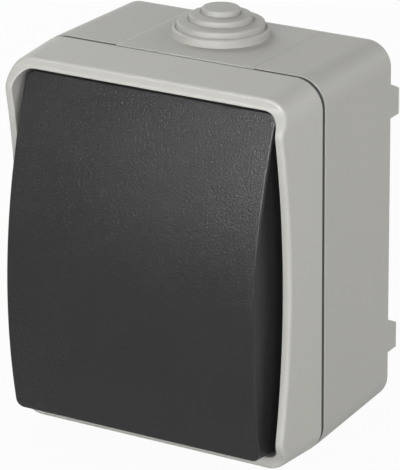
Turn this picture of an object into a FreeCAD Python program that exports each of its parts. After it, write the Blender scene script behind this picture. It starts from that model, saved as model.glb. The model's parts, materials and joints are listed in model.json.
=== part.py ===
import FreeCAD, Part
import math
import os

os.makedirs("parts", exist_ok=True)

# Frame of the part: X to the right, Y from the front towards the wall, Z up, millimetres.
# The origin is the centre of the wall-screw pattern, on the box's rear face.

# Rear box
box_width = 66.2
box_height = 80.7
box_depth = 30.26
box_draft = 1.34
box_wall = 2.2
box_floor = 2.4
corner_radius = 6.1
rear_edge_round = 1.5
seam_edge_round = 0.35

# Raised pad round the cable entry, on top of the box
pad_width = 32.0
pad_offset = 1.1
pad_height = 0.12
pad_ramp = 0.8
pad_rear_margin = 2.0
pad_seam_gap = 0.35

# Stand-off feet behind the box
foot_standoff = 3.3
foot_base_height = 7.1
foot_tip_height = 5.5
foot_thickness = 4.0
foot_lowest = -28.9
foot_spacing = 52.1
foot_side_inset = 0.2
foot_edge_round = 0.4

# Wall screws
wall_screw_spacing_x = 50.0
wall_screw_spacing_z = 62.0
wall_hole_radius = 2.95
wall_boss_radius = 4.6
wall_boss_height = 1.5

# Seam and gasket between box and frame
seam_gap = 1.0
gasket_setback = 0.2

# Front frame
frame_depth = 12.37
frame_side_draft = 3.43
frame_end_draft = 3.76
rim_side_width = 1.88
rim_end_width = 2.55
rim_outer_round = 0.7
rim_inner_round = 0.25
scoop_depth = 0.45
cusp_height = 2.75
cusp_from_middle = 33.3
cusp_slope_length = 3.9
cusp_round = 2.5
deck_recess = 8.83
deck_thickness = 2.0
opening_corner_radius = 3.9

# Rocker
rocker_side_gap = 1.45
rocker_end_gap = 0.98
rocker_drop = 0.2
rocker_corner_radius = 1.8
rocker_face_radius = 118.7
rocker_face_rise = 11.88
rocker_swing = 12.4
rocker_wall = 2.0
rocker_edge_round = 0.45
rocker_rear_middle = 3.9
rocker_rear_end = 0.8
pivot_from_deck = 5.2
rocker_lip = 0.6
rocker_side_recess = 0.5

# Toggle that carries the rocker
hub_radius = 3.2
trunnion_radius = 2.0
running_clearance = 0.08
side_clearance = 0.3
prong_spacing = 20.0
prong_width = 6.0
prong_thickness = 3.0
prong_engagement = 2.2
socket_wall = 1.5
socket_height = 3.3
snap_clearance = 0.1
tube_width = 9.0
tube_thickness = 7.2
tube_length = 12.5

# Plunger and its spring
plunger_radius = 2.0
plunger_reach = 19.0
plunger_length = 9.5
plunger_gap = 0.12
spring_wire = 0.4
spring_turns = 6
spring_bends_per_turn = 16
spring_side_gap = 0.15

# Rubber hood over the toggle
hood_wall = 0.8
hood_lip = 1.6
hood_corner_radius = 1.6
hood_ear_gap = 0.6
hood_slot_clearance = 0.9
window_margin = 0.7
window_height = 16.0

# Mechanism base
insert_clearance = 0.3
flange_width = 43.6
flange_height = 55.0
flange_thickness = 4.0
flange_side_lip = 1.8
flange_end_lip = 7.5
insert_floor = 3.2
chamber_width = 18.0
chamber_end_wall = 4.0
ear_thickness = 2.5
ear_radius = 3.6
ear_side_margin = 0.3

# Contacts
bridge_swing = 18.0
bridge_width = 6.0
bridge_height = 22.6
bridge_thickness = 0.8
fulcrum_gap = 0.08
fulcrum_width = 2.0
tip_spacing = 19.0
tip_radius = 1.6
tip_thickness = 0.6
contact_gap = 0.15
strip_width = 6.0
strip_thickness = 0.8
strip_end_gap = 0.4

# Terminals
terminal_z = 10.0
pocket_size = 8.4
pocket_wall = 2.6
pocket_overlap = 1.0
saddle_size = 7.0
saddle_thickness = 1.0
wire_port_width = 4.4
wire_port_height = 3.2

# Steel support plate
plate_corner_radius = 3.9
plate_thickness = 1.2
plate_opening_clearance = 0.5
plate_screw_margin = 3.6
rivet_from_edge = 3.5
rivet_radius = 1.5
rivet_head_radius = 2.6
rivet_head_height = 0.8
support_screw_inset = 5.8
support_screw_gap = 0.7
support_boss_radius = 3.6

# Frame posts in the box
post_flange_gap = 0.3
post_spacing_z = 36.0
post_radius = 3.0
post_rib_width = 2.4

# Screws
screw_radius = 1.5
screw_head_radius = 2.8
screw_head_height = 2.0
screw_length = 11.0
screw_slot_width = 0.8
screw_slot_depth = 0.9
hole_clearance = 0.06
head_clearance = 0.15
screw_tip_room = 1.0
terminal_screw_length = 3.4

# Earth post
earth_z = -27.0
earth_width = 9.0
earth_height = 7.0
earth_depth = 8.0
earth_wire_radius = 1.5
earth_wire_level = 3.0
earth_stud_radius = 1.5
earth_stud_length = 1.2

# Cable grommet on top of the box
grommet_y = -14.3
grommet_base_radius = 10.05
grommet_base_wall = 1.5
grommet_lower_radius = 9.1
grommet_lower_wall = 1.15
grommet_upper_radius = 6.5
grommet_upper_wall = 1.1
grommet_top_radius = 3.95
grommet_top_wall = 1.16
grommet_terrace_rise = 0.35
grommet_groove_depth = 0.15
grommet_groove_width = 0.5
grommet_dome = 0.25
grommet_wall = 1.2
grommet_neck_radius = 7.5
grommet_flange_radius = 9.0
grommet_flange_thickness = 1.2
grommet_edge_round = 0.42

# How near an edge must lie to the line it is picked by
pick_tolerance = 0.02

# Levels along Y
box_front = -box_depth
frame_rear = box_front - seam_gap
rim_plane = frame_rear - frame_depth
cusp_front = rim_plane - cusp_height
deck_front = rim_plane + deck_recess
deck_rear = deck_front + deck_thickness
pivot_y = deck_front - pivot_from_deck
insert_front = deck_rear + insert_clearance
plate_front = insert_front + flange_thickness
plate_rear = plate_front + plate_thickness
bridge_axis_y = pivot_y + plunger_reach + plunger_gap + bridge_thickness + fulcrum_gap
bridge_half_swing = math.radians(bridge_swing / 2)
tip_edge = tip_spacing / 2 + tip_radius
tip_rear = tip_thickness - fulcrum_gap
tip_reach = tip_rear * math.cos(bridge_half_swing) + tip_edge * math.sin(bridge_half_swing)
fixed_tip_front = bridge_axis_y + tip_reach + contact_gap
strip_front = fixed_tip_front + tip_thickness
chamber_floor = strip_front + strip_thickness
insert_rear = chamber_floor + insert_floor
floor_front = -box_floor

# Widths and heights that follow from the driving sizes
box_taper = math.tan(math.radians(box_draft))
frame_side_taper = math.tan(math.radians(frame_side_draft))
frame_end_taper = math.tan(math.radians(frame_end_draft))
opening_half_x = box_width / 2 - frame_depth * frame_side_taper - rim_side_width
opening_half_z = box_height / 2 - frame_depth * frame_end_taper - rim_end_width
rocker_half_x = opening_half_x - rocker_side_gap
rocker_half_z = opening_half_z - rocker_end_gap
ear_outer = flange_width / 2 - ear_side_margin
ear_inner = ear_outer - ear_thickness
hub_half = ear_inner - side_clearance
body_width = flange_width - 2 * flange_side_lip
body_height = flange_height - 2 * flange_end_lip
chamber_height = body_height - 2 * chamber_end_wall
terminal_x = body_width / 2 - pocket_wall - pocket_size / 2
rivet_from_middle = flange_height / 2 - rivet_from_edge
support_screw_x = flange_width / 2 - support_screw_inset
support_screw_z = flange_height / 2 + screw_head_radius + support_screw_gap
plate_half_z = support_screw_z + plate_screw_margin
post_x = flange_width / 2 + post_flange_gap + post_radius
window_half_x = ear_outer + window_margin
window_half_z = window_height / 2
hood_front = pivot_y - ear_radius - hood_ear_gap - hood_wall
bore_radius = plunger_radius + running_clearance
plunger_guide = tube_length - (plunger_reach - plunger_length)
spring_length = plunger_length - plunger_guide
spring_seat = plunger_reach - plunger_length - spring_length


def vec(x, y, z):
    return FreeCAD.Vector(x, y, z)


def block(x0, x1, y0, y1, z0, z1):
    return Part.makeBox(x1 - x0, y1 - y0, z1 - z0, vec(x0, y0, z0))


def rod_y(x, z, radius, y0, y1):
    return Part.makeCylinder(radius, y1 - y0, vec(x, y0, z), vec(0, 1, 0))


def rod_x(y, z, radius, x0, x1):
    return Part.makeCylinder(radius, x1 - x0, vec(x0, y, z), vec(1, 0, 0))


def fuse(shapes):
    return shapes[0].multiFuse(shapes[1:]).removeSplitter()


def mirrored_places(x, z):
    return [(sx * x, sz * z) for sx in (-1, 1) for sz in (-1, 1)]


def support_screw_places():
    return mirrored_places(support_screw_x, support_screw_z)


def post_places():
    return mirrored_places(post_x, post_spacing_z / 2)


def wall_screw_places():
    return mirrored_places(wall_screw_spacing_x / 2, wall_screw_spacing_z / 2)


def rounded_outline(half_x, half_z, radius, y):
    corner = radius * (1 - math.sqrt(0.5))
    straight_x = half_x - radius
    straight_z = half_z - radius
    edges = []
    for sx, sz in ((1, 1), (-1, 1), (-1, -1), (1, -1)):
        along_side = vec(sx * half_x, y, sz * straight_z)
        middle = vec(sx * (half_x - corner), y, sz * (half_z - corner))
        along_end = vec(sx * straight_x, y, sz * half_z)
        first, last = (along_side, along_end) if sx == sz else (along_end, along_side)
        if edges:
            edges.append(Part.LineSegment(edges[-1].EndPoint, first))
        edges.append(Part.Arc(first, middle, last))
    edges.append(Part.LineSegment(edges[-1].EndPoint, edges[0].StartPoint))
    return Part.Wire([edge.toShape() for edge in edges])


def rounded_prism(half_x, half_z, radius, y0, y1):
    face = Part.Face(rounded_outline(half_x, half_z, radius, y0))
    return face.extrude(vec(0, y1 - y0, 0))


def tapered_prism(half_x, half_z, radius, y0, y1, shrink_x, shrink_z):
    start = rounded_outline(half_x, half_z, radius, y0)
    end_radius = radius - (shrink_x + shrink_z) / 2
    end = rounded_outline(half_x - shrink_x, half_z - shrink_z, end_radius, y1)
    return Part.makeLoft([start, end], True, True)


def outline_distance(x, z, half_x, half_z, radius):
    over_x = abs(x) - half_x + radius
    over_z = abs(z) - half_z + radius
    outside = math.hypot(max(over_x, 0), max(over_z, 0))
    return outside + min(max(over_x, over_z), 0) - radius


def middle_of(edge):
    return edge.valueAt((edge.FirstParameter + edge.LastParameter) / 2)


def side_profile(points, half_x):
    # points are (y, z), and an arc is written as ((y, z) on the way, (y, z) at its end)
    edges = []
    here = points[0]
    for step in points[1:] + [points[0]]:
        if isinstance(step[0], tuple):
            on_way, there = step
            arc = Part.Arc(vec(-half_x, *here), vec(-half_x, *on_way), vec(-half_x, *there))
            edges.append(arc.toShape())
        else:
            there = step
            edges.append(Part.LineSegment(vec(-half_x, *here), vec(-half_x, *there)).toShape())
        here = there
    return Part.Face(Part.Wire(edges)).extrude(vec(2 * half_x, 0, 0))


def screw(x, z, head_front, length):
    head = rod_y(x, z, screw_head_radius, head_front, head_front + screw_head_height)
    shank = rod_y(x, z, screw_radius, head_front + screw_head_height, head_front + screw_head_height + length)
    slot = block(x - screw_head_radius, x + screw_head_radius, head_front, head_front + screw_slot_depth,
                 z - screw_slot_width / 2, z + screw_slot_width / 2)
    return fuse([head, shank]).cut(slot)


def to_rest(shape):
    shape.rotate(vec(0, pivot_y, 0), vec(1, 0, 0), -rocker_swing / 2)
    return shape


def bridge_to_rest(shape):
    shape.rotate(vec(0, bridge_axis_y, 0), vec(1, 0, 0), bridge_swing / 2)
    return shape


# Rear box: drafted shell, pad, feet, bosses and posts
def box_half_x(y):
    return box_width / 2 - (y - box_front) * box_taper


def box_half_z(y):
    return box_height / 2 - (y - box_front) * box_taper


def make_rear_box():
    shrink = box_depth * box_taper
    outer = tapered_prism(box_width / 2, box_height / 2, corner_radius, box_front, 0, shrink, shrink)
    rear_edges = [edge for edge in outer.Edges if edge.BoundBox.YMin > -pick_tolerance]
    outer = outer.makeFillet(rear_edge_round, rear_edges)
    front_edges = [edge for edge in outer.Edges if edge.BoundBox.YMax < box_front + pick_tolerance]
    outer = outer.makeFillet(seam_edge_round, front_edges)
    inner_shrink = (floor_front - box_front) * box_taper
    inner = tapered_prism(box_width / 2 - box_wall, box_height / 2 - box_wall, corner_radius - box_wall,
                          box_front, floor_front, inner_shrink, inner_shrink)
    solids = [outer] + make_pad()
    for side in (-1, 1):
        for level in (foot_lowest, foot_lowest + foot_spacing):
            solids.append(make_foot(side, level))
    shell = fuse(solids).cut(inner)
    additions = [shell]
    for x, z in support_screw_places():
        additions.append(rod_y(x, z, support_boss_radius, plate_rear, floor_front))
    for x, z in post_places():
        additions.append(rod_y(x, z, post_radius, box_front, floor_front))
        wall_x = math.copysign(box_half_x(floor_front) - box_wall / 2, x)
        additions.append(block(min(x, wall_x), max(x, wall_x), box_front, floor_front,
                               z - post_rib_width / 2, z + post_rib_width / 2))
    for x, z in wall_screw_places():
        additions.append(rod_y(x, z, wall_boss_radius, floor_front - wall_boss_height, floor_front))
    body = fuse(additions)
    holes = []
    pilot = screw_radius + hole_clearance
    for x, z in support_screw_places():
        holes.append(rod_y(x, z, pilot, plate_rear, plate_front + screw_length + screw_tip_room))
    for x, z in post_places():
        holes.append(rod_y(x, z, pilot, box_front, frame_screw_seat() + screw_length + screw_tip_room))
    for x, z in wall_screw_places():
        holes.append(rod_y(x, z, wall_hole_radius, floor_front - wall_boss_height, 0))
    entry_depth = 2 * (box_wall + pad_height)
    entry = Part.makeCylinder(grommet_neck_radius + hole_clearance, 2 * entry_depth, vec(0, 0, -entry_depth))
    holes.append(grommet_place(entry))
    earth_seat = earth_stud_radius + hole_clearance
    holes.append(rod_y(0, earth_z, earth_seat, floor_front, floor_front + earth_stud_length))
    return body.cut(Part.makeCompound(holes))


def make_pad():
    left = pad_offset - pad_width / 2
    right = left + pad_width
    front = frame_rear + pad_seam_gap
    foot = -pad_height
    root = foot - gasket_setback / 2
    outline = [(left, root), (left, foot), (left + pad_ramp, 0)]
    outline += [(right - pad_ramp, 0), (right, foot), (right, root)]
    corners = [vec(x, front - grommet_y, z) for x, z in outline]
    length = -pad_rear_margin - front
    raised = Part.Face(Part.makePolygon(corners + corners[:1])).extrude(vec(0, length, 0))
    tongue = block(left, right, front, box_front, box_height / 2 - gasket_setback, box_height / 2)
    return [grommet_place(raised), tongue]


def make_foot(side, level):
    outer_x = box_half_x(0) - foot_side_inset
    profile = side_profile([(-rear_edge_round, level), (foot_standoff, level),
                            (foot_standoff, level + foot_tip_height), (0, level + foot_base_height),
                            (-rear_edge_round, level + foot_base_height)], foot_thickness / 2)
    tip_edges = [edge for edge in profile.Edges if edge.BoundBox.YMin > foot_standoff - pick_tolerance]
    profile = profile.makeFillet(foot_edge_round, tip_edges)
    profile.translate(vec(side * (outer_x - foot_thickness / 2), 0, 0))
    return profile


# Cable grommet: closed stepped cone with a neck and an inner flange, square to the drafted top
def grommet_place(shape):
    shape.rotate(vec(0, 0, 0), vec(1, 0, 0), -box_draft)
    shape.translate(vec(0, grommet_y, box_half_z(grommet_y) + pad_height))
    return shape


def grommet_rings():
    return [(grommet_base_radius, grommet_base_wall), (grommet_lower_radius, grommet_lower_wall),
            (grommet_upper_radius, grommet_upper_wall), (grommet_top_radius, grommet_top_wall)]


def make_cable_grommet():
    points = []
    rims = []
    foot = 0
    for radius, wall in grommet_rings():
        if rims:
            points.append((radius + grommet_groove_width, foot))
            points.append((radius, foot - grommet_groove_depth))
        else:
            points.append((radius, foot))
        rims.append((radius, foot + wall))
        points.append(rims[-1])
        foot += wall + grommet_terrace_rise
    top = rims[-1][1]
    wall_below = -(box_wall + pad_height)
    flange_rear = wall_below - grommet_flange_thickness
    neck_inside = grommet_neck_radius - grommet_wall
    roof = top - grommet_wall
    points += [(0, top + grommet_dome), (0, roof), (grommet_top_radius - grommet_wall, roof)]
    points += [(neck_inside, grommet_base_wall), (neck_inside, flange_rear)]
    points += [(grommet_flange_radius, flange_rear), (grommet_flange_radius, wall_below)]
    points += [(grommet_neck_radius, wall_below), (grommet_neck_radius, 0)]
    corners = [vec(radius, 0, height) for radius, height in points]
    face = Part.Face(Part.makePolygon(corners + corners[:1]))
    solid = face.revolve(vec(0, 0, 0), vec(0, 0, 1), 360)
    rounded = [edge for edge in solid.Edges if on_grommet_rim(edge, rims)]
    return grommet_place(solid.makeFillet(grommet_edge_round, rounded))


def on_grommet_rim(edge, rims):
    if not isinstance(edge.Curve, Part.Circle):
        return False
    radius = edge.Curve.Radius
    height = edge.Curve.Center.z
    return any(math.hypot(radius - rim[0], height - rim[1]) < pick_tolerance for rim in rims)


# Gasket ring in the seam
def make_box_gasket():
    outer = rounded_prism(box_width / 2 - gasket_setback, box_height / 2 - gasket_setback,
                          corner_radius - gasket_setback, frame_rear, box_front)
    inner = rounded_prism(box_width / 2 - box_wall, box_height / 2 - box_wall, corner_radius - box_wall,
                          frame_rear, box_front)
    return outer.cut(inner)


# Front frame: drafted rim with scooped sides, deck, window and screw seats
def frame_screw_seat():
    return deck_front + head_clearance + screw_head_height


def make_rim_cutter():
    reach = box_height
    cutter = side_profile([(cusp_front - frame_depth, reach), (rim_plane, reach),
                           (rim_plane, cusp_from_middle + cusp_slope_length), (cusp_front, cusp_from_middle),
                           ((rim_plane + scoop_depth, 0), (cusp_front, -cusp_from_middle)),
                           (rim_plane, -cusp_from_middle - cusp_slope_length), (rim_plane, -reach),
                           (cusp_front - frame_depth, -reach)], box_width)
    turns = (cusp_from_middle, cusp_from_middle + cusp_slope_length)
    rounded = []
    for edge in cutter.Edges:
        middle = middle_of(edge)
        along_x = edge.BoundBox.XLength > box_width
        if along_x and any(abs(abs(middle.z) - turn) < pick_tolerance for turn in turns):
            rounded.append(edge)
    return cutter.makeFillet(cusp_round, rounded)


def make_front_frame():
    blank_front = cusp_front - cusp_height
    run = frame_rear - blank_front
    outer = tapered_prism(box_width / 2, box_height / 2, corner_radius, frame_rear, blank_front,
                          run * frame_side_taper, run * frame_end_taper)
    rear_edges = [edge for edge in outer.Edges if edge.BoundBox.YMin > frame_rear - pick_tolerance]
    outer = outer.makeFillet(seam_edge_round, rear_edges)
    opening = rounded_prism(opening_half_x, opening_half_z, opening_corner_radius, blank_front, deck_front)
    body = outer.cut(make_rim_cutter()).cut(opening)
    body = body.makeFillet(rim_outer_round, rim_edges(body, False))
    body = body.makeFillet(rim_inner_round, rim_edges(body, True))
    rear_cavity = rounded_prism(box_width / 2 - box_wall, box_height / 2 - box_wall, corner_radius - box_wall,
                                deck_rear, box_front)
    window = rounded_prism(window_half_x, window_half_z, hood_corner_radius, deck_front, deck_rear)
    body = body.cut(rear_cavity).cut(window)
    seats = [rod_y(x, z, post_radius, deck_rear, box_front) for x, z in post_places()]
    body = fuse([body] + [seat.common(rear_cavity) for seat in seats])
    holes = []
    for x, z in post_places():
        holes.append(rod_y(x, z, screw_head_radius + head_clearance, deck_front, frame_screw_seat()))
        holes.append(rod_y(x, z, screw_radius + head_clearance, frame_screw_seat(), box_front))
    return body.cut(Part.makeCompound(holes))


def rim_edges(body, inner):
    chosen = []
    for edge in body.Edges:
        if edge.BoundBox.YMax > rim_plane + scoop_depth + pick_tolerance:
            continue
        middle = middle_of(edge)
        from_opening = outline_distance(middle.x, middle.z, opening_half_x, opening_half_z,
                                        opening_corner_radius)
        at_opening = abs(from_opening) < pick_tolerance
        at_outside = from_opening > rim_side_width / 2
        if at_opening if inner else at_outside:
            chosen.append(edge)
    return chosen


def make_frame_screws():
    head_front = deck_front + head_clearance
    return Part.makeCompound([screw(x, z, head_front, screw_length) for x, z in post_places()])


# Rocker cap: convex face with a thin lip over its recessed sides, and sockets for the toggle
def face_centre_y():
    return pivot_y - rocker_face_rise + rocker_face_radius


def face_y(z, offset):
    radius = rocker_face_radius - offset
    return face_centre_y() - math.sqrt(radius * radius - z * z)


def rocker_side(offset, rear_middle, rear_end):
    reach = rocker_half_z + rocker_corner_radius
    face_end = face_y(reach, offset)
    return side_profile([(face_end, reach), ((face_y(0, offset), 0), (face_end, -reach)),
                         (rear_end, -reach), (rear_middle, 0), (rear_end, reach)], box_width / 2)


def make_rocker():
    rear_middle = pivot_y + rocker_rear_middle
    front = pivot_y - rocker_face_rise
    lowered = vec(0, 0, -rocker_drop)
    plate = rounded_prism(rocker_half_x, rocker_half_z, rocker_corner_radius, front, rear_middle)
    body = plate.translated(lowered).common(rocker_side(0, rear_middle, pivot_y + rocker_rear_end))
    behind = rear_middle + rocker_wall
    behind_lip = rocker_side(rocker_lip, behind, behind)
    for side in (-1, 1):
        x0, x1 = sorted((side * (rocker_half_x - rocker_side_recess), side * (rocker_half_x + rocker_wall)))
        body = body.cut(behind_lip.common(block(x0, x1, front, behind, -box_height, box_height)))
    body = body.makeFillet(rocker_edge_round, [edge for edge in body.Edges if is_face_edge(edge)])
    inner = rounded_prism(rocker_half_x - rocker_side_recess - rocker_wall, rocker_half_z - rocker_wall,
                          rocker_corner_radius, front, behind)
    inner = inner.translated(lowered).common(rocker_side(rocker_wall, behind, behind))
    body = body.cut(inner)
    socket_front = front + rocker_wall
    socket_rear = socket_front + socket_height
    pieces = [body]
    pockets = []
    for side in (-1, 1):
        x = side * prong_spacing / 2
        half_x = prong_width / 2 + snap_clearance
        half_z = prong_thickness / 2 + snap_clearance
        pieces.append(block(x - half_x - socket_wall, x + half_x + socket_wall,
                            socket_front - rocker_wall / 2, socket_rear,
                            -half_z - socket_wall, half_z + socket_wall))
        pocket_front = socket_rear - prong_engagement - snap_clearance
        pockets.append(block(x - half_x, x + half_x, pocket_front, socket_rear, -half_z, half_z))
    return to_rest(fuse(pieces).cut(Part.makeCompound(pockets)))


def is_face_edge(edge):
    middle = middle_of(edge)
    on_face = abs(middle.y - face_y(middle.z, 0)) < pick_tolerance
    from_side = outline_distance(middle.x, middle.z + rocker_drop, rocker_half_x, rocker_half_z,
                                 rocker_corner_radius)
    return on_face and abs(from_side) < pick_tolerance


# Toggle: hub with trunnions, prongs forward into the rocker, plunger tube to the rear
def make_rocker_carrier():
    hub = rod_x(pivot_y, 0, hub_radius, -hub_half, hub_half)
    trunnion_end = ear_outer - side_clearance
    trunnions = rod_x(pivot_y, 0, trunnion_radius, -trunnion_end, trunnion_end)
    tube = block(-tube_width / 2, tube_width / 2, pivot_y, pivot_y + tube_length,
                 -tube_thickness / 2, tube_thickness / 2)
    pieces = [hub, trunnions, tube]
    prong_front = pivot_y - rocker_face_rise + rocker_wall + socket_height - prong_engagement
    for side in (-1, 1):
        x = side * prong_spacing / 2
        pieces.append(block(x - prong_width / 2, x + prong_width / 2, prong_front, pivot_y,
                            -prong_thickness / 2, prong_thickness / 2))
    bore = rod_y(0, 0, bore_radius, pivot_y + spring_seat, pivot_y + tube_length)
    return to_rest(fuse(pieces).cut(bore))


def make_plunger():
    tip_middle = pivot_y + plunger_reach - plunger_radius
    pin = rod_y(0, 0, plunger_radius, pivot_y + plunger_reach - plunger_length, tip_middle)
    tip = Part.makeSphere(plunger_radius, vec(0, tip_middle, 0))
    return to_rest(fuse([pin, tip]))


def make_plunger_spring():
    coil_radius = bore_radius - spring_side_gap - spring_wire / 2
    first = pivot_y + spring_seat + spring_wire / 2
    rise = (spring_length - spring_wire) / (spring_turns * spring_bends_per_turn)
    points = []
    for bend in range(spring_turns * spring_bends_per_turn + 1):
        angle = 2 * math.pi * bend / spring_bends_per_turn
        points.append(vec(coil_radius * math.cos(angle), first + bend * rise, coil_radius * math.sin(angle)))
    section = Part.Wire(Part.makeCircle(spring_wire / 2, points[0], points[1] - points[0]))
    mitred = 1
    return to_rest(Part.makePolygon(points).makePipeShell([section], True, False, mitred))


# Rubber hood: lip on the deck, wall round the ears and a front with a slot for each prong
def make_seal_hood():
    half_x = window_half_x + hood_wall
    half_z = window_half_z + hood_wall
    lip = rounded_prism(half_x + hood_lip, half_z + hood_lip, hood_corner_radius + hood_lip,
                        deck_front - hood_wall, deck_front)
    outer = rounded_prism(half_x, half_z, hood_corner_radius, hood_front, deck_front)
    inner = rounded_prism(window_half_x, window_half_z, hood_corner_radius,
                          hood_front + hood_wall, deck_front)
    shell = fuse([lip, outer]).cut(inner)
    slots = []
    for side in (-1, 1):
        x = side * prong_spacing / 2
        slot_half_x = prong_width / 2 + hood_slot_clearance
        slot_half_z = prong_thickness / 2 + hood_slot_clearance
        slots.append(block(x - slot_half_x, x + slot_half_x, hood_front, hood_front + hood_wall,
                           -slot_half_z, slot_half_z))
    return shell.cut(Part.makeCompound(slots))


# Mechanism base: flange, body, contact chamber, terminal pockets and bearing ears
def terminal_places():
    return [(terminal_x, terminal_z), (terminal_x, -terminal_z), (-terminal_x, 0)]


def make_insert_base():
    flange = block(-flange_width / 2, flange_width / 2, insert_front, plate_front,
                   -flange_height / 2, flange_height / 2)
    body = block(-body_width / 2, body_width / 2, plate_front, insert_rear, -body_height / 2, body_height / 2)
    pieces = [flange, body]
    for side in (-1, 1):
        x0, x1 = sorted((side * ear_inner, side * ear_outer))
        pieces.append(block(x0, x1, pivot_y, insert_front, -ear_radius, ear_radius))
        pieces.append(rod_x(pivot_y, 0, ear_radius, x0, x1))
    solid = fuse(pieces)
    half_pocket = pocket_size / 2
    cuts = [block(-chamber_width / 2, chamber_width / 2, insert_front, chamber_floor,
                  -chamber_height / 2, chamber_height / 2)]
    cuts.append(rod_x(pivot_y, 0, trunnion_radius + running_clearance, -ear_outer, ear_outer))
    for x, z in terminal_places():
        near = math.copysign(chamber_width / 2 - pocket_overlap, x)
        far = x + math.copysign(half_pocket, x)
        x0, x1 = sorted((near, far))
        cuts.append(block(x0, x1, insert_front, chamber_floor, z - half_pocket, z + half_pocket))
        x0, x1 = sorted((x, math.copysign(body_width / 2, x)))
        cuts.append(block(x0, x1, strip_front - wire_port_height, strip_front,
                          z - wire_port_width / 2, z + wire_port_width / 2))
        cuts.append(rod_y(x, z, screw_radius + head_clearance, chamber_floor,
                          strip_front - saddle_thickness + terminal_screw_length + head_clearance))
    for side in (-1, 1):
        z = side * rivet_from_middle
        head_rear = insert_front + rivet_head_height
        cuts.append(rod_y(0, z, rivet_head_radius + head_clearance, insert_front, head_rear))
        cuts.append(rod_y(0, z, rivet_radius + hole_clearance, insert_front, plate_front))
    return solid.cut(Part.makeCompound(cuts).removeSplitter())


# Steel plate that carries the base on the box's bosses
def make_support_plate():
    plate = rounded_prism(flange_width / 2, plate_half_z, plate_corner_radius, plate_front, plate_rear)
    half_x = body_width / 2 + plate_opening_clearance
    half_z = body_height / 2 + plate_opening_clearance
    cuts = [block(-half_x, half_x, plate_front, plate_rear, -half_z, half_z)]
    for side in (-1, 1):
        z = side * rivet_from_middle
        cuts.append(rod_y(0, z, rivet_radius + hole_clearance, plate_front, plate_rear))
    for x, z in support_screw_places():
        cuts.append(rod_y(x, z, screw_radius + head_clearance, plate_front, plate_rear))
    return plate.cut(Part.makeCompound(cuts))


def make_plate_rivets():
    rivets = []
    for side in (-1, 1):
        z = side * rivet_from_middle
        rivets.append(fuse([rod_y(0, z, rivet_head_radius, insert_front, insert_front + rivet_head_height),
                            rod_y(0, z, rivet_radius, insert_front, plate_rear),
                            rod_y(0, z, rivet_head_radius, plate_rear, plate_rear + rivet_head_height)]))
    return Part.makeCompound(rivets)


def make_support_screws():
    head_front = plate_front - screw_head_height
    return Part.makeCompound([screw(x, z, head_front, screw_length) for x, z in support_screw_places()])


# Rocking bridge and the contact strips on the chamber floor
def make_contact_bridge():
    rear = bridge_axis_y - fulcrum_gap
    plate = block(-bridge_width / 2, bridge_width / 2, rear - bridge_thickness, rear,
                  -bridge_height / 2, bridge_height / 2)
    return bridge_to_rest(plate)


def make_moving_tips():
    rear = bridge_axis_y - fulcrum_gap
    tips = [rod_y(0, side * tip_spacing / 2, tip_radius, rear, rear + tip_thickness) for side in (-1, 1)]
    return bridge_to_rest(Part.makeCompound(tips))


def contact_strip(x, z):
    far = x + math.copysign(pocket_size / 2 - strip_end_gap, x)
    near = -math.copysign(strip_width / 2, x)
    x0, x1 = sorted((near, far))
    strip = block(x0, x1, strip_front, chamber_floor, z - strip_width / 2, z + strip_width / 2)
    return strip.cut(rod_y(x, z, screw_radius + hole_clearance, strip_front, chamber_floor))


def make_common_contact():
    fulcrum_half = fulcrum_width / 2
    fulcrum = side_profile([(bridge_axis_y, 0), (strip_front, fulcrum_half), (strip_front, -fulcrum_half)],
                           bridge_width / 2)
    return fuse([contact_strip(-terminal_x, 0), fulcrum])


def make_fixed_tips():
    places = (tip_spacing / 2, -tip_spacing / 2)
    return Part.makeCompound([rod_y(0, z, tip_radius, fixed_tip_front, strip_front) for z in places])


# Wire clamps
def make_terminal_saddles():
    half = saddle_size / 2
    saddles = []
    for x, z in terminal_places():
        saddle = block(x - half, x + half, strip_front - saddle_thickness, strip_front, z - half, z + half)
        saddles.append(saddle.cut(rod_y(x, z, screw_radius + head_clearance, strip_front - saddle_thickness,
                                        strip_front)))
    return Part.makeCompound(saddles)


def make_terminal_screws():
    front = strip_front - saddle_thickness - screw_head_height
    return Part.makeCompound([screw(x, z, front, terminal_screw_length) for x, z in terminal_places()])


# Earth post on the box floor
def make_earth_terminal():
    post = block(-earth_width / 2, earth_width / 2, floor_front - earth_depth, floor_front,
                 earth_z - earth_height / 2, earth_z + earth_height / 2)
    stud = rod_y(0, earth_z, earth_stud_radius, floor_front, floor_front + earth_stud_length)
    wire_y = floor_front - earth_wire_level
    wire_hole = rod_x(wire_y, earth_z, earth_wire_radius, -earth_width / 2, earth_width / 2)
    screw_hole = rod_y(0, earth_z, screw_radius + hole_clearance, floor_front - earth_depth, wire_y)
    return fuse([post, stud]).cut(wire_hole).cut(screw_hole)


def make_earth_screw():
    return screw(0, earth_z, floor_front - earth_depth - screw_head_height, earth_depth - earth_wire_level)


nodes = {
    "rear_box": make_rear_box(),
    "cable_grommet": make_cable_grommet(),
    "box_gasket": make_box_gasket(),
    "front_frame": make_front_frame(),
    "frame_screws": make_frame_screws(),
    "rocker": make_rocker(),
    "rocker_carrier": make_rocker_carrier(),
    "plunger": make_plunger(),
    "plunger_spring": make_plunger_spring(),
    "seal_hood": make_seal_hood(),
    "insert_base": make_insert_base(),
    "support_plate": make_support_plate(),
    "plate_rivets": make_plate_rivets(),
    "support_screws": make_support_screws(),
    "contact_bridge": make_contact_bridge(),
    "moving_tips": make_moving_tips(),
    "upper_contact": contact_strip(terminal_x, terminal_z),
    "lower_contact": contact_strip(terminal_x, -terminal_z),
    "common_contact": make_common_contact(),
    "fixed_tips": make_fixed_tips(),
    "terminal_saddles": make_terminal_saddles(),
    "terminal_screws": make_terminal_screws(),
    "earth_terminal": make_earth_terminal(),
    "earth_screw": make_earth_screw(),
}

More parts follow.
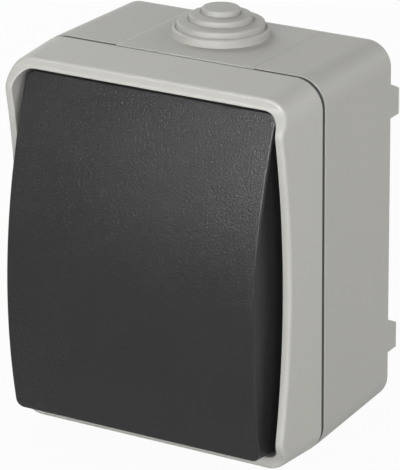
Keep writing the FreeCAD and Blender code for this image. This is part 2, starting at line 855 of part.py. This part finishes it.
for name, shape in nodes.items():
    shape.exportStep("parts/" + name + ".step")
    print(name, len(shape.Solids), shape.isValid(), round(shape.Volume, 2))
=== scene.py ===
"""Outdoor weatherproof switch: the finish of every piece, a plain studio and the camera."""
import json
import math

import bpy
from mathutils import Matrix, Vector


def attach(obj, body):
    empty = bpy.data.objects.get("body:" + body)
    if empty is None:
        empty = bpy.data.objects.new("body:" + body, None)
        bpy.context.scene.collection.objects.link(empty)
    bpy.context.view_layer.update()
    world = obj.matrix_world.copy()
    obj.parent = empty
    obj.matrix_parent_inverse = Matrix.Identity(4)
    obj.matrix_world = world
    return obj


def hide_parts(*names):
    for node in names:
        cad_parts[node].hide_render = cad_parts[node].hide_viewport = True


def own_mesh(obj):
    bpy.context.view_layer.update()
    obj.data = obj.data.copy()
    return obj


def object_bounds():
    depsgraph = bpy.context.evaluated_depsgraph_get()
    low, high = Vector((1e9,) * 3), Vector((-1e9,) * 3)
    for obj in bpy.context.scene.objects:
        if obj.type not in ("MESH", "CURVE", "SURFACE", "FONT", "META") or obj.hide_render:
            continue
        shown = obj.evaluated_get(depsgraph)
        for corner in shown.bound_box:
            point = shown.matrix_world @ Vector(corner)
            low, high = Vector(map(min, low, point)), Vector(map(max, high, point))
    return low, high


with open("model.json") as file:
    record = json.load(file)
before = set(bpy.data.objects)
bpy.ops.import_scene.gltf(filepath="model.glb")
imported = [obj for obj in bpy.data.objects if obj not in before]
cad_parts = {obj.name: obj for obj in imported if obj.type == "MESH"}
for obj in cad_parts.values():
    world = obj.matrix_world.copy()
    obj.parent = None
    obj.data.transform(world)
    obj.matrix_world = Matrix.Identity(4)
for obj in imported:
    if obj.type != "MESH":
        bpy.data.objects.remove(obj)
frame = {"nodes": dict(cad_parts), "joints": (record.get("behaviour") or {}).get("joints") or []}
cad_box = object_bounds()

bl_info = {
    "name": "Weatherproof switch finishes",
    "version": (1, 0, 0),
    "blender": (4, 5, 0),
    "location": "View3D > Sidebar > Switch",
    "description": "Dresses a surface-mounted rocker switch and sets up its studio",
    "category": "Material",
}

MILLIMETRE = 0.001
EDGE_SOFTNESS = 0.12 * MILLIMETRE
FINE_EDGE_SOFTNESS = 0.10 * MILLIMETRE
# Grey painted along the rocker's sharp edges: a painted highlight
EDGE_HIGHLIGHT_GREY = (0.20, 0.20, 0.20, 1.0)
WHITE = (1.0, 1.0, 1.0, 1.0)

SEALS = ("box_gasket", "seal_hood")
SCREWS = ("frame_screws", "support_screws", "terminal_screws", "earth_screw")
STAMPED_STEEL = ("support_plate", "terminal_saddles")
TURNED_STEEL = ("plunger", "plate_rivets")
BRASS = ("contact_bridge", "upper_contact", "lower_contact", "common_contact", "earth_terminal")
CONTACT_TIPS = ("moving_tips", "fixed_tips")


def colour_property(name, description, default):
    return bpy.props.FloatVectorProperty(name=name, description=description, default=default,
                                         subtype="COLOR", size=3, min=0.0, max=1.0)


def length_property(name, description, default):
    return bpy.props.FloatProperty(name=name, description=description, default=default,
                                   unit="LENGTH", subtype="DISTANCE", min=0.0, precision=6)


def share_property(name, description, default):
    return bpy.props.FloatProperty(name=name, description=description, default=default,
                                   subtype="FACTOR", min=0.0, max=1.0)


def angle_property(name, description, degrees):
    return bpy.props.FloatProperty(name=name, description=description, default=math.radians(degrees),
                                   unit="ROTATION", subtype="ANGLE")


def strength_property(name, description, default):
    return bpy.props.FloatProperty(name=name, description=description, default=default, min=0.0)


class SwitchFinishes(bpy.types.PropertyGroup):
    """Colours and grain of the switch's materials"""

    box_colour: colour_property("Box", "Warm grey of the moulded box", (0.408, 0.403, 0.377))
    frame_colour: colour_property("Frame", "Lighter warm grey of the front frame", (0.454, 0.449, 0.420))
    grommet_colour: colour_property("Grommet", "Grey of the rubber cable entry", (0.412, 0.407, 0.379))
    rocker_colour: colour_property("Rocker", "Black of the rocker cap", (0.0256, 0.0257, 0.0266))
    seal_colour: colour_property("Seals", "Black of the rubber gasket and hood", (0.010, 0.010, 0.010))
    carrier_colour: colour_property("Toggle", "Dark grey of the toggle under the rocker",
                                    (0.050, 0.050, 0.054))
    insert_colour: colour_property("Mechanism base", "Ivory of the moulded base", (0.700, 0.690, 0.640))
    steel_colour: colour_property("Steel", "Zinc-plated steel", (0.620, 0.625, 0.630))
    spring_colour: colour_property("Spring", "Drawn spring wire", (0.480, 0.480, 0.490))
    brass_colour: colour_property("Brass", "Stamped contact brass", (0.720, 0.550, 0.270))
    silver_colour: colour_property("Contact tips", "Silver of the contact rivets", (0.840, 0.830, 0.800))
    shell_grain: length_property("Shell grain", "Size of the fine grain on box and frame", 0.00030)
    shell_grain_depth: length_property("Shell grain depth", "Depth of that grain", 0.000008)
    rocker_grain: length_property("Rocker grain", "Size of the grain on the rocker", 0.00032)
    rocker_grain_depth: length_property("Rocker grain depth", "Depth of that grain", 0.000110)
    shell_roughness: share_property("Shell roughness", "Roughness of box and frame", 0.60)
    rocker_roughness: share_property("Rocker roughness", "Roughness of the rocker", 0.23)
    rocker_gloss: share_property("Rocker gloss", "Strength of the rocker's reflections", 0.14)
    # The three edge settings below set a painted highlight: a lighter tone painted along sharp edges
    shell_highlight: share_property("Shell edges", "How far edges of box and frame are rubbed light", 0.12)
    rocker_highlight: share_property("Rocker edges", "How far the rocker's edges are rubbed light", 0.08)
    highlight_reach: length_property("Edge reach", "Width of the rubbed edges", 0.00030)


class SwitchStage(bpy.types.PropertyGroup):
    """Camera and light of the studio"""

    aim: bpy.props.FloatVectorProperty(name="Aim", description="Point that the camera looks at",
                                       default=(-0.001551, -0.020829, -0.001951), subtype="TRANSLATION",
                                       unit="LENGTH", size=3, precision=6)
    distance: length_property("Camera distance", "From the camera to the aim", 0.715)
    azimuth: angle_property("Azimuth", "Camera's angle to the right of straight ahead", 30.609)
    elevation: angle_property("Elevation", "Camera's angle above the horizon", 21.158)
    roll: angle_property("Roll", "Camera's turn about its own line of sight", -0.549)
    lens: bpy.props.FloatProperty(name="Lens", description="Focal length", default=263.67, unit="CAMERA",
                                  subtype="DISTANCE_CAMERA", min=1.0)
    ambient: strength_property("Ambient", "Even light from all round", 0.09)
    key: strength_property("Key", "Brightness of the wide card in front", 4.5)
    side: strength_property("Side", "Brightness of the card at the right", 2.5)
    rear: strength_property("Rear", "Brightness of the card behind on the right", 3.0)
    rim: strength_property("Rim", "Brightness of the card behind on the left", 5.4)
    sheen: strength_property("Sheen", "Brightness of the small card that the rocker reflects", 50.0)
    floor_colour: colour_property("Floor", "Pale floor", (0.65, 0.65, 0.65))
    floor_glow: share_property("Floor glow", "Share of plain white in the floor as it is seen", 0.95)


class Reading:
    """A socket of a finish, so that shader maths on values reads as an expression"""

    def __init__(self, finish, socket):
        self.finish = finish
        self.socket = socket

    def maths(self, operation, first, second):
        return self.finish.node("ShaderNodeMath", {"operation": operation}, {0: first, 1: second})

    def __add__(self, other):
        return self.maths("ADD", self, other)

    def __radd__(self, other):
        return self.maths("ADD", other, self)

    def __sub__(self, other):
        return self.maths("SUBTRACT", self, other)

    def __rsub__(self, other):
        return self.maths("SUBTRACT", other, self)

    def __mul__(self, other):
        return self.maths("MULTIPLY", self, other)

    def __rmul__(self, other):
        return self.maths("MULTIPLY", other, self)


class Finish:
    """Node tree of one finish or of the world"""

    def __init__(self, owner):
        owner.use_nodes = True
        self.tree = owner.node_tree
        self.tree.nodes.clear()

    def node(self, kind, settings=None, inputs=None, output=0):
        made = self.tree.nodes.new(kind)
        for name, value in (settings or {}).items():
            setattr(made, name, value)
        for name, value in (inputs or {}).items():
            if isinstance(value, Reading):
                self.tree.links.new(value.socket, made.inputs[name])
            else:
                made.inputs[name].default_value = value
        return Reading(self, made.outputs[output]) if made.outputs else None

    def place(self):
        return self.node("ShaderNodeTexCoord", output="Object")

    def noise(self, size, detail=2.0, stretch=(1.0, 1.0, 1.0)):
        where = self.node("ShaderNodeVectorMath", {"operation": "MULTIPLY"},
                          {0: self.place(), 1: stretch})
        return self.node("ShaderNodeTexNoise", {},
                         {"Vector": where, "Scale": 1.0 / size, "Detail": detail})

    def blend(self, factor, first, second):
        return self.node("ShaderNodeMix", {"data_type": "RGBA"}, {0: factor, 6: first, 7: second}, 2)

    def mottle(self, pattern, colour, darkest, lightest):
        """The colour, from a darker to a lighter share of it as the pattern goes"""
        return self.blend(pattern, shade(colour, darkest), shade(colour, lightest))

    def least(self, first, second):
        return self.node("ShaderNodeMath", {"operation": "MINIMUM"}, {0: first, 1: second})

    def edge_soft(self, radius):
        return self.node("ShaderNodeBevel", {"samples": 6}, {"Radius": radius})

    def edges(self, reach):
        """0 on flat runs, towards 1 along sharp outer edges"""
        contrast = 2.5
        search = {"inside": True, "only_local": True, "samples": 8}
        solid = self.node("ShaderNodeAmbientOcclusion", search, {"Distance": reach}, "AO")
        return self.least(contrast * (1.0 - solid), 1.0)

    def bump(self, height, depth, normal):
        return self.node("ShaderNodeBump", {},
                         {"Height": height, "Distance": depth, "Strength": 1.0, "Normal": normal})

    def surface(self, inputs):
        shader = self.node("ShaderNodeBsdfPrincipled", {}, inputs)
        self.node("ShaderNodeOutputMaterial", {}, {"Surface": shader})


def shade(colour, share):
    """A share of the colour, with an alpha of 1"""
    return tuple(part * share for part in colour) + (1.0,)


def uneven(level, spread, pattern):
    """A level that swings by half the spread to either side as the pattern goes"""
    return level + spread * (pattern - 0.5)


def dress(names, material):
    for name in names:
        for slot in frame["nodes"][name].material_slots:
            slot.material = material


def moulded_shell(name, colour, looks):
    """Matte grey plastic with a fine moulded grain, a faint clouding and a painted highlight along its
    sharp edges
    """
    material = bpy.data.materials.new(name)
    finish = Finish(material)
    cloud_size = 22 * MILLIMETRE
    coarse_size = 2.5 * looks.shell_grain
    # Lighter grey painted along sharp edges: a painted highlight
    painted = shade(colour, 1.5)
    cloud = finish.noise(cloud_size)
    speck = finish.noise(looks.shell_grain, detail=3.0)
    grain = finish.noise(looks.shell_grain) + 0.5 * finish.noise(coarse_size, detail=1.0)
    moulded = finish.mottle(0.7 * cloud + 0.3 * speck, colour, darkest=0.965, lightest=1.035)
    highlight_mask = finish.edges(looks.highlight_reach)
    roughness = uneven(uneven(looks.shell_roughness, 0.12, cloud), 0.08, speck)
    finish.surface({
        # Painted highlight: sharp edges blend towards the lighter grey
        "Base Color": finish.blend(looks.shell_highlight * highlight_mask, moulded, painted),
        "Roughness": roughness - 0.1 * highlight_mask,
        "Normal": finish.bump(grain, looks.shell_grain_depth, finish.edge_soft(EDGE_SOFTNESS)),
    })
    return material


def spark_eroded_black(name, colour, looks):
    """Black plastic from a spark-eroded mould: a fine irregular grain with a satin sheen, and a painted
    highlight along its sharp edges
    """
    material = bpy.data.materials.new(name)
    finish = Finish(material)
    cloud_size = 14 * MILLIMETRE
    fine_size = 0.45 * looks.rocker_grain
    pits = finish.noise(looks.rocker_grain, detail=1.0)
    fine = finish.noise(fine_size, detail=1.0)
    cloud = finish.noise(cloud_size)
    grain = 0.7 * pits + 0.3 * fine
    # Painted highlight: the mask below lightens the rocker's sharp edges towards grey
    highlight_mask = finish.edges(looks.highlight_reach)
    moulded = finish.mottle(0.5 * cloud + 0.5 * fine, colour, darkest=0.85, lightest=1.15)
    roughness = uneven(uneven(looks.rocker_roughness, 0.10, cloud), 0.10, fine)
    finish.surface({
        "Base Color": finish.blend(looks.rocker_highlight * highlight_mask, moulded, EDGE_HIGHLIGHT_GREY),
        "Roughness": roughness - 0.08 * highlight_mask,
        "Specular IOR Level": looks.rocker_gloss,
        "Normal": finish.bump(grain, looks.rocker_grain_depth, finish.edge_soft(EDGE_SOFTNESS)),
    })
    return material


def matte_rubber(name, colour, looks):
    """Soft rubber with a dusty, uneven bloom"""
    material = bpy.data.materials.new(name)
    finish = Finish(material)
    cloud_size = 6 * MILLIMETRE
    speck_size = 0.25 * MILLIMETRE
    matte = 0.68
    cloud = finish.noise(cloud_size, detail=3.0)
    speck = finish.noise(speck_size)
    finish.surface({
        "Base Color": finish.mottle(0.6 * cloud + 0.4 * speck, colour, darkest=0.93, lightest=1.07),
        "Roughness": uneven(matte, 0.12, cloud),
        "Normal": finish.bump(speck, looks.shell_grain_depth, finish.edge_soft(FINE_EDGE_SOFTNESS)),
    })
    return material


def satin_plastic(name, colour):
    """Smooth moulded plastic of the hidden mechanism"""
    material = bpy.data.materials.new(name)
    finish = Finish(material)
    cloud_size = 9 * MILLIMETRE
    flow_size = 1.2 * MILLIMETRE
    flow_depth = 0.004 * MILLIMETRE
    satin = 0.42
    cloud = finish.noise(cloud_size)
    flow = finish.noise(flow_size, stretch=(1.0, 1.0, 0.2))
    finish.surface({
        "Base Color": finish.mottle(0.7 * cloud + 0.3 * flow, colour, darkest=0.94, lightest=1.05),
        "Roughness": uneven(satin, 0.12, flow),
        "Normal": finish.bump(flow, flow_depth, finish.edge_soft(EDGE_SOFTNESS)),
    })
    return material


def plated_metal(name, colour, stretch, roughness):
    """Metal with the fine lines of rolling, turning or drawing and a slightly uneven plating"""
    material = bpy.data.materials.new(name)
    finish = Finish(material)
    line_size = 0.25 * MILLIMETRE
    line_depth = 0.003 * MILLIMETRE
    cloud_size = 3 * MILLIMETRE
    lines = finish.noise(line_size, stretch=stretch)
    cloud = finish.noise(cloud_size)
    finish.surface({
        "Base Color": finish.mottle(0.6 * lines + 0.4 * cloud, colour, darkest=0.88, lightest=1.08),
        "Metallic": 1.0,
        "Roughness": uneven(uneven(roughness, 0.16, lines), 0.10, cloud),
        "Normal": finish.bump(lines, line_depth, finish.edge_soft(FINE_EDGE_SOFTNESS)),
    })
    return material


class SWITCH_OT_rear_box(bpy.types.Operator):
    """Give the box its grey moulded finish"""

    bl_idname = "switch.rear_box"
    bl_label = "Rear box"

    def execute(self, context):
        looks = context.scene.switch_finishes
        dress(["rear_box"], moulded_shell("box_plastic_grained", looks.box_colour, looks))
        return {"FINISHED"}


class SWITCH_OT_cable_grommet(bpy.types.Operator):
    """Give the stepped cable entry its rubber"""

    bl_idname = "switch.cable_grommet"
    bl_label = "Cable grommet"

    def execute(self, context):
        looks = context.scene.switch_finishes
        dress(["cable_grommet"], matte_rubber("grommet_rubber_matte", looks.grommet_colour, looks))
        return {"FINISHED"}


class SWITCH_OT_front_frame(bpy.types.Operator):
    """Give the front frame its lighter grey finish"""

    bl_idname = "switch.front_frame"
    bl_label = "Front frame"

    def execute(self, context):
        looks = context.scene.switch_finishes
        dress(["front_frame"], moulded_shell("frame_plastic_grained", looks.frame_colour, looks))
        return {"FINISHED"}


class SWITCH_OT_rocker(bpy.types.Operator):
    """Give the rocker its black spark-eroded grain"""

    bl_idname = "switch.rocker"
    bl_label = "Rocker"

    def execute(self, context):
        looks = context.scene.switch_finishes
        dress(["rocker"], spark_eroded_black("rocker_plastic_grained", looks.rocker_colour, looks))
        return {"FINISHED"}


class SWITCH_OT_seals(bpy.types.Operator):
    """Give the seam gasket and the toggle's hood their black rubber"""

    bl_idname = "switch.seals"
    bl_label = "Seals"

    def execute(self, context):
        looks = context.scene.switch_finishes
        dress(SEALS, matte_rubber("seal_rubber_black", looks.seal_colour, looks))
        return {"FINISHED"}


class SWITCH_OT_mechanism(bpy.types.Operator):
    """Give the mechanism's base and toggle their smooth plastics"""

    bl_idname = "switch.mechanism"
    bl_label = "Mechanism"

    def execute(self, context):
        looks = context.scene.switch_finishes
        dress(["insert_base"], satin_plastic("insert_plastic_ivory", looks.insert_colour))
        dress(["rocker_carrier"], satin_plastic("carrier_plastic_dark", looks.carrier_colour))
        return {"FINISHED"}


def add_spring():
    """Copy of the spring, hung on the rocker's body in place of the original"""
    node = frame["nodes"]["plunger_spring"]
    slide = next(joint for joint in frame["joints"] if joint["name"] == "plunger_slide")
    axis = Vector(slide["axis"])
    along = [axis.dot(vertex.co) for vertex in node.data.vertices]
    travel = slide["range_m"][1]
    spring = bpy.data.objects.new("plunger_spring_coil", node.data.copy())
    bpy.context.scene.collection.objects.link(spring)
    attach(spring, "rocker")
    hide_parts("plunger_spring")
    1.0 - travel / (max(along) - min(along))
    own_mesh(spring)


class SWITCH_OT_plunger_spring(bpy.types.Operator):
    """Give the plunger's spring its drawn wire and put a copy on the rocker in its place"""

    bl_idname = "switch.plunger_spring"
    bl_label = "Plunger spring"

    def execute(self, context):
        colour = context.scene.switch_finishes.spring_colour
        wire = plated_metal("spring_steel_wire", colour, stretch=(1.0, 0.3, 1.0), roughness=0.30)
        dress(["plunger_spring"], wire)
        add_spring()
        return {"FINISHED"}


class SWITCH_OT_metalwork(bpy.types.Operator):
    """Give the screws, plate, plunger and contacts their metals"""

    bl_idname = "switch.metalwork"
    bl_label = "Metalwork"

    def execute(self, context):
        looks = context.scene.switch_finishes
        steel = looks.steel_colour
        turned = plated_metal("zinc_steel_turned", steel, stretch=(1.0, 0.15, 1.0), roughness=0.34)
        drawn = plated_metal("zinc_steel_drawn", steel, stretch=(1.0, 0.1, 1.0), roughness=0.28)
        rolled = plated_metal("zinc_steel_rolled", steel, stretch=(1.0, 1.0, 0.05), roughness=0.38)
        brass = plated_metal("contact_brass_stamped", looks.brass_colour, stretch=(0.06, 1.0, 1.0),
                             roughness=0.32)
        silver = plated_metal("contact_silver_turned", looks.silver_colour, stretch=(1.0, 0.3, 1.0),
                              roughness=0.20)
        dress(SCREWS, turned)
        dress(TURNED_STEEL, drawn)
        dress(STAMPED_STEEL, rolled)
        dress(BRASS, brass)
        dress(CONTACT_TIPS, silver)
        return {"FINISHED"}


def from_direction(azimuth, elevation, distance, aim):
    """Point at a distance from the aim, to the right of straight ahead by azimuth"""
    level = math.cos(elevation)
    return Vector(aim) + distance * Vector((math.sin(azimuth) * level, -math.cos(azimuth) * level,
                                            math.sin(elevation)))


def facing(place, aim, roll=0.0):
    """Placement at a point, looking at the aim"""
    look = (Vector(aim) - place).to_track_quat("-Z", "Y").to_matrix().to_4x4()
    return Matrix.Translation(place) @ look @ Matrix.Rotation(roll, 4, "Z")


def add_camera(stage):
    data = bpy.data.cameras.new("studio_camera")
    data.lens = stage.lens
    camera = bpy.data.objects.new("studio_camera", data)
    place = from_direction(stage.azimuth, stage.elevation, stage.distance, stage.aim)
    camera.matrix_world = facing(place, stage.aim, stage.roll)
    bpy.context.scene.collection.objects.link(camera)
    bpy.context.scene.camera = camera


def add_card(name, brightness, aim, azimuth, elevation, distance=0.9, width=0.5, height=0.5,
             sheen_only=False):
    """Soft rectangular light, unseen by the camera, that may be kept to reflections alone"""
    data = bpy.data.lights.new(name, "AREA")
    data.shape = "RECTANGLE"
    data.size = width
    data.size_y = height
    data.energy = brightness * math.pi * width * height
    card = bpy.data.objects.new(name, data)
    place = from_direction(math.radians(azimuth), math.radians(elevation), distance, aim)
    card.matrix_world = facing(place, aim)
    card.visible_camera = False
    card.visible_diffuse = not sheen_only
    bpy.context.scene.collection.objects.link(card)


def seen_directly(finish):
    """1 for rays from the camera or off gloss and glass, 0 for the light that falls on things"""
    seen = [finish.node("ShaderNodeLightPath", output=name)
            for name in ("Is Camera Ray", "Is Glossy Ray", "Is Transmission Ray")]
    return finish.least(seen[0] + seen[1] + seen[2], 1.0)


def add_world(stage):
    world = bpy.data.worlds.new("studio_world")
    finish = Finish(world)
    strength = stage.ambient + (1.0 - stage.ambient) * seen_directly(finish)
    light = finish.node("ShaderNodeBackground", {}, {"Color": WHITE, "Strength": strength})
    finish.node("ShaderNodeOutputWorld", {}, {"Surface": light})
    bpy.context.scene.world = world


def add_floor(stage):
    half = 4.0
    level = cad_box[0].z
    corners = [(-half, -half, level), (half, -half, level), (half, half, level), (-half, half, level)]
    mesh = bpy.data.meshes.new("studio_floor")
    mesh.from_pydata(corners, [], [(0, 1, 2, 3)])
    floor = bpy.data.objects.new("studio_floor", mesh)
    bpy.context.scene.collection.objects.link(floor)
    material = bpy.data.materials.new("studio_floor_white")
    finish = Finish(material)
    matte = finish.node("ShaderNodeBsdfDiffuse", {}, {"Color": tuple(stage.floor_colour) + (1.0,)})
    white = finish.node("ShaderNodeEmission", {}, {"Color": WHITE, "Strength": 1.0})
    share = stage.floor_glow * seen_directly(finish)
    mixed = finish.node("ShaderNodeMixShader", {}, {0: share, 1: matte, 2: white})
    finish.node("ShaderNodeOutputMaterial", {}, {"Surface": mixed})
    mesh.materials.append(material)


class SWITCH_OT_stage(bpy.types.Operator):
    """Set up the camera, the soft light, the white surroundings and the floor"""

    bl_idname = "switch.stage"
    bl_label = "Stage"

    def execute(self, context):
        stage = context.scene.switch_stage
        context.scene.view_settings.view_transform = "Standard"
        add_camera(stage)
        add_world(stage)
        add_floor(stage)
        aim = stage.aim
        add_card("key_card", stage.key, aim, azimuth=14.0, elevation=17.0, width=1.0)
        add_card("side_card", stage.side, aim, azimuth=66.0, elevation=20.0)
        add_card("rear_card", stage.rear, aim, azimuth=145.0, elevation=25.0)
        add_card("rim_card", stage.rim, aim, azimuth=-115.0, elevation=32.0)
        add_card("sheen_card", stage.sheen, aim, azimuth=1.0, elevation=22.0, distance=0.3, width=0.08,
                 height=0.16, sheen_only=True)
        return {"FINISHED"}


class SWITCH_PT_sidebar(bpy.types.Panel):
    """Pieces, finishes and stage of the switch"""

    bl_idname = "SWITCH_PT_sidebar"
    bl_label = "Weatherproof switch"
    bl_space_type = "VIEW_3D"
    bl_region_type = "UI"
    bl_category = "Switch"

    def draw(self, context):
        for operator in OPERATORS:
            self.layout.operator(operator.bl_idname)
        for group in (context.scene.switch_finishes, context.scene.switch_stage):
            column = self.layout.column(align=True)
            for name in group.bl_rna.properties.keys():
                if name not in ("rna_type", "name"):
                    column.prop(group, name)


OPERATORS = (SWITCH_OT_rear_box, SWITCH_OT_cable_grommet, SWITCH_OT_front_frame, SWITCH_OT_rocker,
             SWITCH_OT_seals, SWITCH_OT_mechanism, SWITCH_OT_plunger_spring, SWITCH_OT_metalwork,
             SWITCH_OT_stage)
CLASSES = (SwitchFinishes, SwitchStage) + OPERATORS + (SWITCH_PT_sidebar,)


def register():
    for one in CLASSES:
        bpy.utils.register_class(one)
    bpy.types.Scene.switch_finishes = bpy.props.PointerProperty(type=SwitchFinishes)
    bpy.types.Scene.switch_stage = bpy.props.PointerProperty(type=SwitchStage)


def unregister():
    del bpy.types.Scene.switch_stage
    del bpy.types.Scene.switch_finishes
    for one in reversed(CLASSES):
        bpy.utils.unregister_class(one)


def main():
    register()
    bpy.ops.switch.rear_box()
    bpy.ops.switch.cable_grommet()
    bpy.ops.switch.front_frame()
    bpy.ops.switch.rocker()
    bpy.ops.switch.seals()
    bpy.ops.switch.mechanism()
    bpy.ops.switch.plunger_spring()
    bpy.ops.switch.metalwork()
    bpy.ops.switch.stage()


if __name__ == "__main__":
    main()
